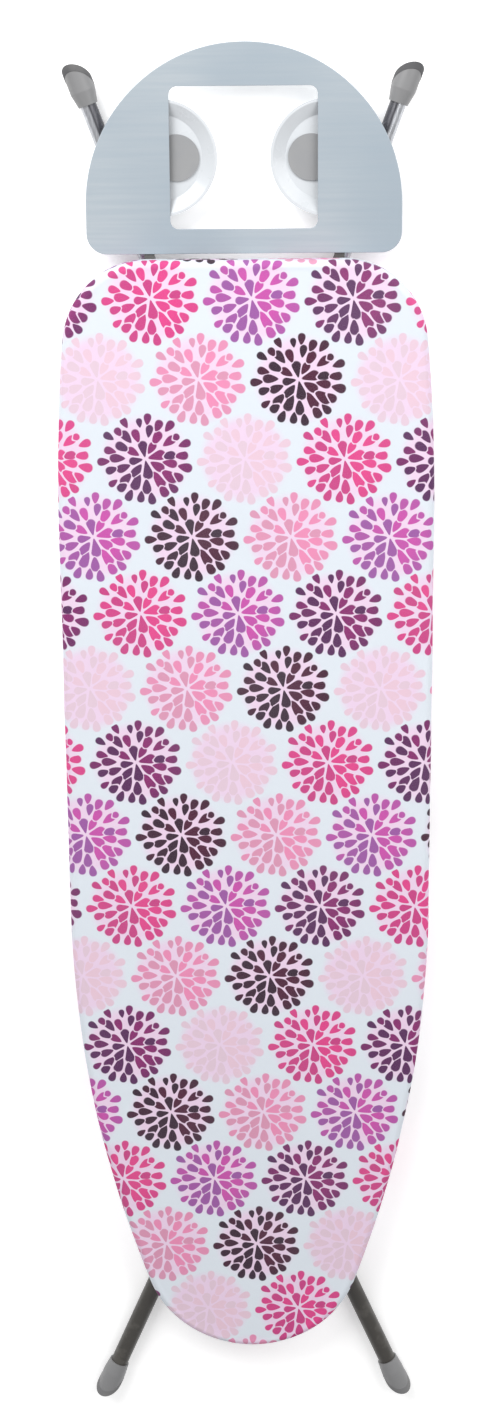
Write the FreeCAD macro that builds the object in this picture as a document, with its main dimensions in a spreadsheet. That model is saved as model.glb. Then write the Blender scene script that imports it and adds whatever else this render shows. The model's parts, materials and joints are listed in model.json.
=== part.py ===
"""A folding ironing board, folded flat and lying on its legs, working surface up.

X runs across the board, +Y from the nose to the iron rest, +Z up out of the working surface.
The origin is on the surface that the feet lie on, under the middle of the board's bounding box.
Places along the board are written as stations: millimetres from the nose tip towards the tail.

The outer leg A hinges on the pivot rod near the nose, and its feet lie at the tail. The inner leg B
crosses it at the cross pin, its feet lie at the nose, and its slide rod runs in two slotted rails.
Both board pivots stand pivot_rise above the legs' centre lines, so as the legs open the slide rod
keeps its height and travels straight along the slots.
"""
import FreeCAD, Part
import math
import os
import re
import Sketcher

V = FreeCAD.Vector
X_AXIS, Y_AXIS, Z_AXIS = V(1, 0, 0), V(0, 1, 0), V(0, 0, 1)

# Driving sizes: millimetres, and degrees for angles.
SIZES = {
    # outline of the board
    "board_length": 1200,
    "board_width": 380,
    "side_radius": 1300,
    "side_station": 520,
    "taper_run": 260,
    "taper_radius": 1850,
    "corner_radius": 85,
    # layers of the board
    "panel_level": 50,
    "panel_thickness": 1.2,
    "rim_depth": 15,
    "rim_wall": 1.2,
    "rim_lip": 10,
    "pad_thickness": 6,
    "cover_thickness": 1.2,
    "soft_gap": 0.3,
    "cover_drop": 27.5,
    "hem_width": 30,
    # linkage
    "pivot_station": 287,
    "crossing_arm": 365,
    "foot_arm": 723,
    "open_angle": 50,
    # legs
    "foot_a_spread": 162,
    "foot_b_spread": 165,
    "tube_wall": 1.2,
    "bend_radius": 70,
    "leg_gap": 4.5,
    "leg_a_radius": 8,
    "leg_a_flare_run": 341,
    "leg_a_tie_gap": 44,
    "leg_b_inside": 4.5,
    "leg_b_radius": 9.5,
    "leg_b_flare_run": 349,
    "leg_b_tie_gap": 46,
    "tie_radius": 6,
    "tube_overrun": 8,
    "tube_end_clear": 2.5,
    "plug_flange": 2,
    "plug_stem": 10,
    # feet
    "sole_cover": 3.5,
    "sole_thickness": 5,
    "cap_cover": 3.1,
    "cap_length": 30,
    "cap_cone": 14,
    "cap_wall": 1.7,
    # pins and rods
    "pin_radius": 4,
    "slide_rod_radius": 5,
    "fit": 0.05,
    "side_gap": 0.15,
    "lug_thickness": 3,
    "lug_radius": 9,
    "bracket_thickness": 2.5,
    "bracket_length": 34,
    "bracket_flange": 16,
    "pivot_spacer": 2.6,
    "rod_cap": 4,
    "rod_cap_rim": 3,
    # rails
    "rail_half": 57,
    "rail_wall": 2,
    "rail_depth": 32,
    "rail_flange": 15,
    "rail_margin": 20,
    "slot_gap": 0.3,
    "slot_end_gap": 1,
    "notch_depth": 3.5,
    "notch_pitch": 25,
    "notch_count": 7,
    "sleeve_wall": 1,
    "sleeve_gap": 1,
    "rod_gap": 0.5,
    "washer_thickness": 1.5,
    "washer_rim": 4,
    # cross channels under the panel
    "channel_width": 25,
    "channel_depth": 12,
    "channel_wall": 1.5,
    "nose_channel_station": 140,
    "nose_channel_gap": 10,
    "middle_channel_station": 600,
    "middle_channel_gap": 3.8,
    "rest_channel_inset": 80,
    "rest_channel_margin": 65,
    "rest_channel_depth": 19,
    # iron rest
    "rest_gap": 4.5,
    "rest_radius": 155.5,
    "rest_skirt": 46,
    "rest_corner": 20,
    "rest_thickness": 2,
    "rest_edge_round": 0.6,
    "opening_half": 72.5,
    "opening_start": 24,
    "opening_length": 136,
    "opening_corner": 8,
    "arm_half": 94,
    "arm_width": 10,
    "arm_thickness": 5,
    "arm_overlap": 20,
    "rivet_radius": 2,
    "rivet_head": 4,
    "rivet_head_height": 1.4,
    "rivet_pitch": 12,
    "dish_half": 82,
    "dish_station": 92,
    "dish_radius": 56,
    "dish_floor_radius": 42,
    "dish_depth": 8.5,
    "dish_wall": 1.5,
    "dish_pad_radius": 22.5,
    "dish_pad_offset": 16,
    "dish_pad_thickness": 2,
    # release lever
    "spring_turns": 3,
    "spring_pitch": 1.7,
    "spring_wire_radius": 0.7,
    "spring_radius": 7,
    "hub_radius": 8,
    "hub_length": 13,
    "crank_radius": 12,
    "crank_thickness": 4,
    "crank_end_radius": 5,
    "cam_radius": 5,
    "cam_rise": 9,
    "cam_width": 6,
    "handle_radius": 3,
    "grip_radius": 7,
    "grip_start": 88,
    "grip_margin": 40,
    "grip_end_wall": 2,
}

# Places and sizes that follow from the driving ones.
DERIVED = {
    "board_half": "board_width / 2",
    "taper_station": "board_length - taper_run",
    "leg_b_half": "leg_b_radius + leg_b_inside",
    "leg_a_half": "leg_b_half + leg_b_radius + leg_gap + leg_a_radius",
    "sole_radius": "leg_b_radius + sole_cover",
    "cap_radius": "leg_b_radius + cap_cover",
    "tube_end_gap": "leg_b_radius / tan(open_angle) + sole_thickness / sin(open_angle)"
                    " + tube_end_clear",
    "grip_end": "board_half - grip_margin",
    "nose_radius": "(side_radius ^ 2 - (side_radius - board_half) ^ 2 - side_station ^ 2)"
                   " / (2 * (side_radius - side_station))",
    "rest_end": "board_length + rest_gap + rest_skirt + rest_radius",
    "sleeve_radius": "slide_rod_radius + sleeve_wall",
    "pivot_rise": "max(leg_a_radius + sleeve_radius + sleeve_gap;"
                  " leg_b_radius + slide_rod_radius + rod_gap)",
    "nose_channel_half": "board_half - side_radius + sqrt(side_radius ^ 2"
                         " - (side_station - nose_channel_station + channel_width / 2) ^ 2)"
                         " - rim_inset - rim_wall - nose_channel_gap",
    "middle_channel_half": "board_half - rim_inset - rim_wall - middle_channel_gap",
    "rest_channel_station": "board_length - rest_channel_inset",
    "rest_channel_half": "board_half - rest_channel_margin",
    "crossing_station": "pivot_station + crossing_arm",
    "slide_station": "crossing_station + crossing_arm",
    "slide_station_open": "pivot_station + 2 * crossing_arm * cos(open_angle)"
                          " - 2 * pivot_rise * sin(open_angle)",
    "foot_a_station": "crossing_station + foot_arm",
    "foot_b_station": "crossing_station - foot_arm",
    "middle": "(rest_end + foot_b_station - sole_radius / tan(open_angle)) / 2",
    "leg_level": "sole_radius",
    "pivot_level": "leg_level + pivot_rise",
    "panel_top": "panel_level + panel_thickness",
    "rim_inset": "cover_thickness + 2 * soft_gap + 1.2",
    "rest_level": "panel_level - rest_channel_depth",
    "arm_level": "rest_level - arm_thickness",
    "flare_a": "atan((foot_a_spread - leg_a_half) / leg_a_flare_run)",
    "flare_b": "atan((foot_b_spread - leg_b_half) / leg_b_flare_run)",
    "lug_a_half": "leg_a_half + leg_a_radius + side_gap",
    "lug_b_half": "leg_b_half - leg_b_radius - side_gap - lug_thickness",
    "bracket_half": "lug_a_half + lug_thickness + pivot_spacer + 2 * side_gap",
    "slot_half_height": "slide_rod_radius + slot_gap",
    "slide_washer_half": "rail_half + rail_wall + side_gap",
    "spring_start": "slide_washer_half + washer_thickness + spring_wire_radius + side_gap",
    "spring_length": "spring_turns * spring_pitch",
    "hub_start": "spring_start + spring_length + spring_wire_radius + side_gap",
    "hub_end": "hub_start + hub_length",
}

DOC = FreeCAD.newDocument("ironing_board")
SHEET = DOC.addObject("Spreadsheet::Sheet", "Sizes")
WORD = re.compile(r"[a-z]+(?:_[a-z]+)+|fit|middle")
NODES = []


def fill_sheet():
    """Write each driving size into its own row, with its name as the alias."""
    for row, (name, value) in enumerate(SIZES.items(), start=1):
        SHEET.set(f"A{row}", name)
        SHEET.set(f"B{row}", str(value))
        SHEET.setAlias(f"B{row}", name)
    DOC.recompute()


def formula(text):
    """Turn named sizes in a formula into references to the sheet's cells."""
    def reference(word):
        name = word.group()
        if name in DERIVED:
            return "(" + formula(DERIVED[name]) + ")"
        return "Sizes." + name
    return WORD.sub(reference, str(text))


def bind(thing, **sizes):
    """Bind properties of an object to formulas of named sizes."""
    for name, text in sizes.items():
        thing.setExpression(name, formula(text))


def place(thing, x="0", y="0", z="0", axis=None, turn=None):
    """Put an object at a bound point, turned about an axis by a fixed or bound angle."""
    if axis is not None:
        thing.Placement = FreeCAD.Placement(V(), FreeCAD.Rotation(axis, 90))
        thing.setExpression("Placement.Rotation.Angle", formula(turn))
    for coordinate, text in (("x", x), ("y", y), ("z", z)):
        thing.setExpression("Placement.Base." + coordinate, formula(text))
    return thing


def at_station(station):
    """The row's Y coordinate of a station along the board."""
    return f"({station}) - middle"


def node(name, thing):
    """Name an object as one of the finished sub-parts."""
    thing.Label = name
    NODES.append(thing)
    return thing


# ---- Part primitives and booleans -------------------------------------------------------------

def box(name, size, corner, axis=None, turn=None):
    """A box with the given sizes along X, Y and Z from its low corner."""
    thing = DOC.addObject("Part::Box", name)
    bind(thing, Length=size[0], Width=size[1], Height=size[2])
    return place(thing, *corner, axis=axis, turn=turn)


def rod(name, radius, start, end, y, z):
    """A cylinder across the board, from X = start to X = end."""
    thing = DOC.addObject("Part::Cylinder", name)
    bind(thing, Radius=radius, Height=f"({end}) - ({start})")
    return place(thing, start, y, z, axis=Y_AXIS, turn="90")


def post(name, radius, height, x, y, z):
    """An upright cylinder."""
    thing = DOC.addObject("Part::Cylinder", name)
    bind(thing, Radius=radius, Height=height)
    return place(thing, x, y, z)


def cut(name, base, tool):
    thing = DOC.addObject("Part::Cut", name)
    thing.Base = base
    thing.Tool = tool
    return thing


def common(name, first, second):
    thing = DOC.addObject("Part::Common", name)
    thing.Base = first
    thing.Tool = second
    return thing


def fuse(name, *shapes):
    thing = DOC.addObject("Part::MultiFuse", name)
    thing.Shapes = list(shapes)
    return thing


def group(name, members):
    """Separate identical solids that share one node."""
    thing = DOC.addObject("Part::Compound", name)
    thing.Links = members
    return thing


def ring(name, outer, inner, start, end, y, z):
    """A bored cylinder across the board."""
    body = rod(name + "_outer", outer, start, end, y, z)
    bore = rod(name + "_bore", inner, f"({start}) - 1", f"({end}) + 1", y, z)
    return cut(name, body, bore)


# ---- PartDesign helpers -----------------------------------------------------------------------

def new_body(name):
    return DOC.addObject("PartDesign::Body", name)


def new_sketch(body, name, plane, level="0"):
    """A sketch on one of the body's own origin planes, lifted along the plane's normal."""
    sketch = body.newObject("Sketcher::SketchObject", name)
    support = [item for item in body.Origin.OriginFeatures if item.Role == plane][0]
    sketch.AttachmentSupport = [(support, "")]
    sketch.MapMode = "FlatFace"
    sketch.setExpression("AttachmentOffset.Base.z", formula(level))
    return sketch


def drawn_size(sketch, kind, references):
    """The size that a dimension has in the sketch as drawn."""
    if kind == "Radius":
        return sketch.Geometry[references[0]].Radius
    step = sketch.getPoint(*references[2:]) - sketch.getPoint(*references[:2])
    return step.x if kind == "DistanceX" else step.y


def measure(sketch, kind, references, text):
    """Add a dimension to a sketch and bind it to a formula."""
    size = drawn_size(sketch, kind, references)
    index = sketch.addConstraint(Sketcher.Constraint(kind, *references, size))
    sketch.setExpression(f"Constraints[{index}]", formula(text))


def relate(sketch, kind, *references):
    sketch.addConstraint(Sketcher.Constraint(kind, *references))


def arc(centre_x, centre_y, radius, start, end):
    circle = Part.Circle(V(centre_x, centre_y, 0), Z_AXIS, radius)
    return Part.ArcOfCircle(circle, start, end)


def line(start_x, start_y, end_x, end_y):
    return Part.LineSegment(V(start_x, start_y, 0), V(end_x, end_y, 0))


def chain_tangent(sketch, first, count, closed=True):
    """Join consecutive curves end to start, each tangent to the next."""
    last = count if closed else count - 1
    for step in range(last):
        following = first + (step + 1) % count
        relate(sketch, "Tangent", first + step, 2, following, 1)


def outline(sketch, inset="0"):
    """The board's outline, drawn inwards by an inset: nose, long sides, tapered tail, corners."""
    half = SIZES["board_width"] / 2
    side_radius, side_station = SIZES["side_radius"], SIZES["side_station"]
    taper_radius, taper_station = SIZES["taper_radius"], SIZES["board_length"] - SIZES["taper_run"]
    corner, length = SIZES["corner_radius"], SIZES["board_length"]
    side_x, taper_x = half - side_radius, half - taper_radius
    nose = (side_radius ** 2 - side_x ** 2 - side_station ** 2) / (2 * (side_radius - side_station))
    corner_y = length - corner
    corner_x = taper_x + math.sqrt((taper_radius - corner) ** 2 - (corner_y - taper_station) ** 2)
    low = math.atan2(nose - side_station, -side_x)
    high = math.atan2(corner_y - taper_station, corner_x - taper_x)
    sketch.addGeometry([
        arc(0, nose, nose, math.pi - low, 2 * math.pi + low),
        arc(side_x, side_station, side_radius, low, 0),
        line(half, side_station, half, taper_station),
        arc(taper_x, taper_station, taper_radius, 0, high),
        arc(corner_x, corner_y, corner, high, math.pi / 2),
        line(corner_x, length, -corner_x, length),
        arc(-corner_x, corner_y, corner, math.pi / 2, math.pi - high),
        arc(-taper_x, taper_station, taper_radius, math.pi - high, math.pi),
        line(-half, taper_station, -half, side_station),
        arc(-side_x, side_station, side_radius, math.pi, math.pi - low),
    ], False)
    chain_tangent(sketch, 0, 10)
    relate(sketch, "Vertical", 2)
    relate(sketch, "Vertical", 8)
    relate(sketch, "Horizontal", 5)
    for right, left in ((1, 9), (3, 7), (4, 6)):
        relate(sketch, "Equal", right, left)
    relate(sketch, "Horizontal", 2, 1, 8, 2)
    relate(sketch, "Horizontal", 2, 2, 8, 1)
    for curve, radius in ((0, "nose_radius"), (1, "side_radius"), (3, "taper_radius"),
                          (4, "corner_radius")):
        measure(sketch, "Radius", (curve,), f"{radius} - ({inset})")
    measure(sketch, "DistanceX", (-1, 1, 2, 1), f"board_half - ({inset})")
    measure(sketch, "DistanceX", (8, 1, -1, 1), f"board_half - ({inset})")
    measure(sketch, "DistanceY", (-1, 1, 2, 1), "side_station")
    measure(sketch, "DistanceY", (-1, 1, 2, 2), "taper_station")
    measure(sketch, "DistanceY", (-1, 1, 5, 1), f"board_length - ({inset})")


def circle(sketch, x, y, radius):
    """A circle; x or y may be None for a centre on the sketch's own axis."""
    index = sketch.addGeometry(Part.Circle(V(0, 0, 0), Z_AXIS, 5), False)
    measure(sketch, "Radius", (index,), radius)
    if x is None:
        relate(sketch, "PointOnObject", index, 3, -2)
    else:
        measure(sketch, "DistanceX", (-1, 1, index, 3), x)
    if y is None:
        relate(sketch, "PointOnObject", index, 3, -1)
    else:
        measure(sketch, "DistanceY", (-1, 1, index, 3), y)


def polygon(sketch, points):
    """A closed polygon through bound points; None stands for a coordinate on the axis."""
    count = len(points)
    turn = 2 * math.pi / count
    start = [(10 * math.cos(k * turn), 10 * math.sin(k * turn)) for k in range(count)]
    for k in range(count):
        sketch.addGeometry(line(*start[k], *start[(k + 1) % count]), False)
    for k in range(count):
        relate(sketch, "Coincident", k, 2, (k + 1) % count, 1)
    for k, (x, y) in enumerate(points):
        if x is None:
            relate(sketch, "PointOnObject", k, 1, -2)
        else:
            measure(sketch, "DistanceX", (-1, 1, k, 1), x)
        if y is None:
            relate(sketch, "PointOnObject", k, 1, -1)
        else:
            measure(sketch, "DistanceY", (-1, 1, k, 1), y)


def rounded_rectangle(sketch, half, low, high, radius):
    """A rectangle centred on the sketch's vertical axis, with four equal round corners."""
    right, bottom, top, corner = 60.0, 20.0, 140.0, 10.0
    quarter = math.pi / 2
    sketch.addGeometry([
        line(right, bottom + corner, right, top - corner),
        arc(right - corner, top - corner, corner, 0, quarter),
        line(right - corner, top, corner - right, top),
        arc(corner - right, top - corner, corner, quarter, 2 * quarter),
        line(-right, top - corner, -right, bottom + corner),
        arc(corner - right, bottom + corner, corner, 2 * quarter, 3 * quarter),
        line(corner - right, bottom, right - corner, bottom),
        arc(right - corner, bottom + corner, corner, 3 * quarter, 4 * quarter),
    ], False)
    chain_tangent(sketch, 0, 8)
    relate(sketch, "Vertical", 0)
    relate(sketch, "Vertical", 4)
    relate(sketch, "Horizontal", 2)
    relate(sketch, "Horizontal", 6)
    for curve in (3, 5, 7):
        relate(sketch, "Equal", 1, curve)
    measure(sketch, "Radius", (1,), radius)
    measure(sketch, "DistanceX", (-1, 1, 0, 1), half)
    measure(sketch, "DistanceX", (4, 1, -1, 1), half)
    measure(sketch, "DistanceY", (-1, 1, 6, 1), low)
    measure(sketch, "DistanceY", (-1, 1, 2, 1), high)


def pad_up(body, sketch, name, length):
    pad = body.newObject("PartDesign::Pad", name)
    pad.Profile = sketch
    pad.setExpression("Length", formula(length))
    return pad


def pocket_through(body, sketch, name):
    """Cut a sketch right through the body, both ways."""
    pocket = body.newObject("PartDesign::Pocket", name)
    pocket.Profile = sketch
    pocket.Type = "ThroughAll"
    pocket.Midplane = True
    return pocket


# ---- the board --------------------------------------------------------------------------------

def outline_ring(body, name, level, outer, inner, height):
    """A band that follows the board's outline between two insets."""
    outside = new_sketch(body, name + "_outside", "XY_Plane", level)
    outline(outside, outer)
    pad = pad_up(body, outside, name + "_pad", height)
    inside = new_sketch(body, name + "_inside", "XY_Plane", level)
    outline(inside, inner)
    pocket = body.newObject("PartDesign::Pocket", name + "_pocket")
    pocket.Profile = inside
    pocket.Reversed = True
    pocket.setExpression("Length", formula(height))
    return pad, pocket


def top_panel():
    """The flat steel panel that carries the pad."""
    body = new_body("top_panel")
    sketch = new_sketch(body, "panel_outline", "XY_Plane")
    outline(sketch, "rim_inset")
    pad_up(body, sketch, "panel_plate", "panel_thickness")
    node("top_panel", place(body, y=at_station("0"), z="panel_level"))


def rim_frame():
    """The rim under the panel's edge: a thin wall with a lip turned in along its foot."""
    body = new_body("rim_frame")
    lip_inner = "rim_inset + rim_lip"
    outline_ring(body, "rim_lip", "0", "rim_inset", lip_inner, "rim_wall")
    wall = new_sketch(body, "rim_wall_ring", "XY_Plane", "rim_wall")
    outline(wall, "rim_inset")
    inner = new_sketch(body, "rim_wall_hollow", "XY_Plane", "rim_wall")
    outline(inner, "rim_inset + rim_wall")
    pad_up(body, wall, "rim_wall_pad", "rim_depth - rim_wall")
    hollow = body.newObject("PartDesign::Pocket", "rim_wall_pocket")
    hollow.Profile = inner
    hollow.Reversed = True
    hollow.setExpression("Length", formula("rim_depth - rim_wall"))
    node("rim_frame", place(body, y=at_station("0"), z="panel_level - rim_depth"))


def pad_layer():
    """The foam pad on the panel."""
    body = new_body("pad")
    sketch = new_sketch(body, "pad_outline", "XY_Plane")
    outline(sketch, "cover_thickness + soft_gap")
    pad_up(body, sketch, "pad_foam", "pad_thickness")
    node("pad", place(body, y=at_station("0"), z="panel_top + soft_gap"))


def cover():
    """The cloth cover: a top sheet, a side wall round the edge and a hem turned in under the rim."""
    body = new_body("cover")
    hem = "hem_width"
    outline_ring(body, "hem", "0", "0", hem, "cover_thickness")
    side = new_sketch(body, "cover_side", "XY_Plane", "cover_thickness")
    outline(side)
    pad_up(body, side, "cover_block", "cover_drop - cover_thickness")
    hollow = new_sketch(body, "cover_hollow", "XY_Plane", "cover_thickness")
    outline(hollow, "cover_thickness")
    pocket = body.newObject("PartDesign::Pocket", "cover_inside")
    pocket.Profile = hollow
    pocket.Reversed = True
    pocket.setExpression("Length", formula("cover_drop - 2 * cover_thickness"))
    top = "panel_top + 2 * soft_gap + pad_thickness + cover_thickness"
    node("cover", place(body, y=at_station("0"), z=f"{top} - cover_drop"))


def channel(name, station, half, depth, holes=None):
    """A steel channel across the board, open side up against the panel."""
    low = f"panel_level - {depth}"
    start = at_station(f"{station} - channel_width / 2")
    outer = box(name + "_outer", (f"2 * {half}", "channel_width", depth), (f"-{half}", start, low))
    inner = box(name + "_inner", (f"2 * {half} + 2", "channel_width - 2 * channel_wall", depth),
                (f"-{half} - 1", f"{start} + channel_wall", f"{low} + channel_wall"))
    plain = cut(name + "_bent", outer, inner)
    node(name, cut(name, plain, holes) if holes else plain)


def rail(side, sign):
    """A slide rail: a slotted web hanging from a flange under the panel, with height notches."""
    name = "rail_" + side
    start = "slide_station_open - slide_rod_radius - slot_end_gap - rail_margin"
    length = f"slide_station + slide_rod_radius + slot_end_gap + rail_margin - ({start})"
    web_x = "rail_half" if sign > 0 else "-rail_half - rail_wall"
    flange_x = "rail_half" if sign > 0 else "-rail_half - rail_flange"
    web = box(name + "_web", ("rail_wall", length, "rail_depth"),
              (web_x, at_station(start), "panel_level - rail_depth"))
    flange = box(name + "_flange", ("rail_flange", length, "rail_wall"),
                 (flange_x, at_station(start), "panel_level - rail_wall"))
    across = (f"{web_x} - 1", f"{web_x} + rail_wall + 1")
    low_end = at_station("slide_station_open - slot_end_gap")
    high_end = at_station("slide_station + slot_end_gap")
    slot = box(name + "_slot", ("rail_wall + 2", f"{high_end} - ({low_end})", "2 * slot_half_height"),
               (across[0], low_end, "pivot_level - slot_half_height"))
    tools = [slot]
    for label, station in (("low", low_end), ("high", high_end)):
        tools.append(rod(f"{name}_{label}_end", "slot_half_height", *across, station, "pivot_level"))
    for step in range(SIZES["notch_count"]):
        station = at_station(f"slide_station_open + {step} * notch_pitch")
        tools.append(rod(f"{name}_notch_{step}", "slot_half_height", *across, station,
                         "pivot_level + notch_depth"))
    node(name, cut(name, fuse(name + "_blank", web, flange), fuse(name + "_openings", *tools)))


def pivot_bracket(side, sign):
    """A plate under the panel that holds one end of the pivot rod."""
    name = "pivot_bracket_" + side
    plate_x = "bracket_half" if sign > 0 else "-bracket_half - bracket_thickness"
    flange_x = "bracket_half" if sign > 0 else "-bracket_half - bracket_flange"
    start = at_station("pivot_station - bracket_length / 2")
    plate_low = "pivot_level - lug_radius"
    plate = box(name + "_plate", ("bracket_thickness", "bracket_length", f"panel_level - ({plate_low})"),
                (plate_x, start, plate_low))
    flange = box(name + "_flange", ("bracket_flange", "bracket_length", "bracket_thickness"),
                 (flange_x, start, "panel_level - bracket_thickness"))
    bore = rod(name + "_bore", "pin_radius + fit", f"{plate_x} - 1", f"{plate_x} + bracket_thickness + 1",
               at_station("pivot_station"), "pivot_level")
    node(name, cut(name, fuse(name + "_bent", plate, flange), bore))


def pivot_rod_set():
    """The pivot rod, its end caps, and the spacers that keep leg A off the brackets."""
    place_at = (at_station("pivot_station"), "pivot_level")
    reach = "bracket_half + bracket_thickness + side_gap + rod_cap"
    node("pivot_rod", rod("pivot_rod", "pin_radius", f"-({reach})", reach, *place_at))
    caps, spacers = [], []
    for side, sign in SIDES:
        caps.append(sided_ring("pivot_cap_" + side, "pin_radius + rod_cap_rim", "pin_radius + fit",
                               "bracket_half + bracket_thickness + side_gap", reach, sign, *place_at))
        spacers.append(sided_ring("pivot_spacer_" + side, "pin_radius + washer_rim", "pin_radius + fit",
                                  "lug_a_half + lug_thickness + side_gap", "bracket_half - side_gap",
                                  sign, *place_at))
    node("pivot_rod_caps", group("pivot_rod_caps", caps))
    node("pivot_spacers", group("pivot_spacers", spacers))


def sided_ring(name, outer, inner, near, far, sign, y, z):
    """A ring between two distances from the middle plane, on the side that sign gives."""
    if sign > 0:
        return ring(name, outer, inner, near, far, y, z)
    return ring(name, outer, inner, f"-({far})", f"-({near})", y, z)


# ---- the iron rest ----------------------------------------------------------------------------

def iron_rest():
    """The rest's sheet: a half-round plate with a near-square opening."""
    body = new_body("iron_rest")
    sketch = new_sketch(body, "rest_outline", "XY_Plane")
    radius, skirt, corner = SIZES["rest_radius"], SIZES["rest_skirt"], SIZES["rest_corner"]
    quarter = math.pi / 2
    sketch.addGeometry([
        arc(0, skirt, radius, 0, 2 * quarter),
        line(-radius, skirt, -radius, corner),
        arc(corner - radius, corner, corner, 2 * quarter, 3 * quarter),
        line(corner - radius, 0, radius - corner, 0),
        arc(radius - corner, corner, corner, 3 * quarter, 4 * quarter),
        line(radius, corner, radius, skirt),
    ], False)
    chain_tangent(sketch, 0, 6)
    relate(sketch, "Vertical", 1)
    relate(sketch, "Vertical", 5)
    relate(sketch, "Horizontal", 3)
    relate(sketch, "Equal", 2, 4)
    relate(sketch, "PointOnObject", 0, 3, -2)
    relate(sketch, "PointOnObject", 3, 1, -1)
    measure(sketch, "Radius", (0,), "rest_radius")
    measure(sketch, "Radius", (2,), "rest_corner")
    measure(sketch, "DistanceY", (-1, 1, 0, 3), "rest_skirt")
    pad_up(body, sketch, "rest_plate", "rest_thickness")
    opening = new_sketch(body, "rest_opening", "XY_Plane")
    rounded_rectangle(opening, "opening_half", "opening_start", "opening_start + opening_length",
                      "opening_corner")
    cutout = pocket_through(body, opening, "rest_cutout")
    DOC.recompute()
    rounding = body.newObject("PartDesign::Fillet", "rest_rounding")
    level = SIZES["rest_thickness"]
    rim = [f"Edge{number}" for number, edge in enumerate(cutout.Shape.Edges, start=1)
           if abs(edge.BoundBox.ZMin - level) < 0.01]
    rounding.Base = (cutout, rim)
    rounding.setExpression("Radius", formula("rest_edge_round"))
    node("iron_rest", place(body, y=at_station("board_length + rest_gap"), z="rest_level"))


def rivet_places(sign):
    """The two rivet stations of one arm, as row coordinates."""
    x = f"{sign} * arm_half"
    return [(x, at_station(f"rest_channel_station + {step} * rivet_pitch / 2")) for step in (-1, 1)]


def rest_arms():
    """Two flat bars from the rest channel to the rest's front strip, riveted to the channel."""
    rivets, channel_holes = [], []
    start = at_station("rest_channel_station - channel_width / 2")
    length = ("board_length + rest_gap + arm_overlap"
              " - (rest_channel_station - channel_width / 2)")
    for side, sign in SIDES:
        name = "rest_arm_" + side
        bar = box(name + "_bar", ("arm_width", length, "arm_thickness"),
                  (f"{sign} * arm_half - arm_width / 2", start, "arm_level"))
        holes = []
        for count, (x, y) in enumerate(rivet_places(sign)):
            label = f"{side}_{count}"
            span = "arm_thickness + channel_wall"
            hole = post(f"rivet_hole_{label}", "rivet_radius + fit", f"{span} + 2", x, y, "arm_level - 1")
            holes.append(hole)
            shank = post(f"rivet_shank_{label}", "rivet_radius", span, x, y, "arm_level")
            low = post(f"rivet_foot_{label}", "rivet_head", "rivet_head_height", x, y,
                       "arm_level - rivet_head_height")
            high = post(f"rivet_top_{label}", "rivet_head", "rivet_head_height", x, y,
                        f"arm_level + {span}")
            rivets.append(fuse(f"rivet_{label}", low, shank, high))
        node(name, cut(name, bar, fuse(name + "_holes", *holes)))
        channel_holes += holes
    node("arm_rivets", group("arm_rivets", rivets))
    return fuse("channel_rivet_holes", *channel_holes)


def rest_dishes():
    """Two shallow plastic dishes under the rest's sides, each with a soft round pad in it."""
    for side, sign in SIDES:
        body = new_body("rest_dish_" + side)
        profile = new_sketch(body, f"dish_profile_{side}", "XZ_Plane")
        slope_x = "dish_radius - dish_wall"
        polygon(profile, [
            (None, None), ("dish_floor_radius", None), ("dish_radius", "dish_depth - dish_wall"),
            ("dish_radius", "dish_depth"), (f"{slope_x} - 1", "dish_depth"),
            ("dish_floor_radius - dish_wall / 2", "dish_wall"), (None, "dish_wall")])
        turned = body.newObject("PartDesign::Revolution", "dish_shell_" + side)
        turned.Profile = profile
        turned.ReferenceAxis = (profile, ["V_Axis"])
        turned.Angle = 360
        y = at_station("board_length + rest_gap + dish_station")
        low = "rest_level - dish_depth"
        node("rest_dish_" + side, place(body, f"{sign} * dish_half", y, low))
        disc = post("rest_pad_" + side, "dish_pad_radius", "dish_pad_thickness",
                    f"{sign} * (dish_half - dish_pad_offset)", y, f"{low} + dish_wall")
        node("rest_pad_" + side, disc)


# ---- the legs ---------------------------------------------------------------------------------

SIDES = (("left", -1), ("right", 1))
# Leg A runs from the nose pivot towards the tail (+Y), leg B from the slide rod towards the nose.
LEGS = {
    "leg_a": {"way": 1, "start": "pivot_station", "foot": "foot_a_station", "tilt": "open_angle - 90"},
    "leg_b": {"way": -1, "start": "slide_station", "foot": "foot_b_station",
              "tilt": "-90 - open_angle"},
}


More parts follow.
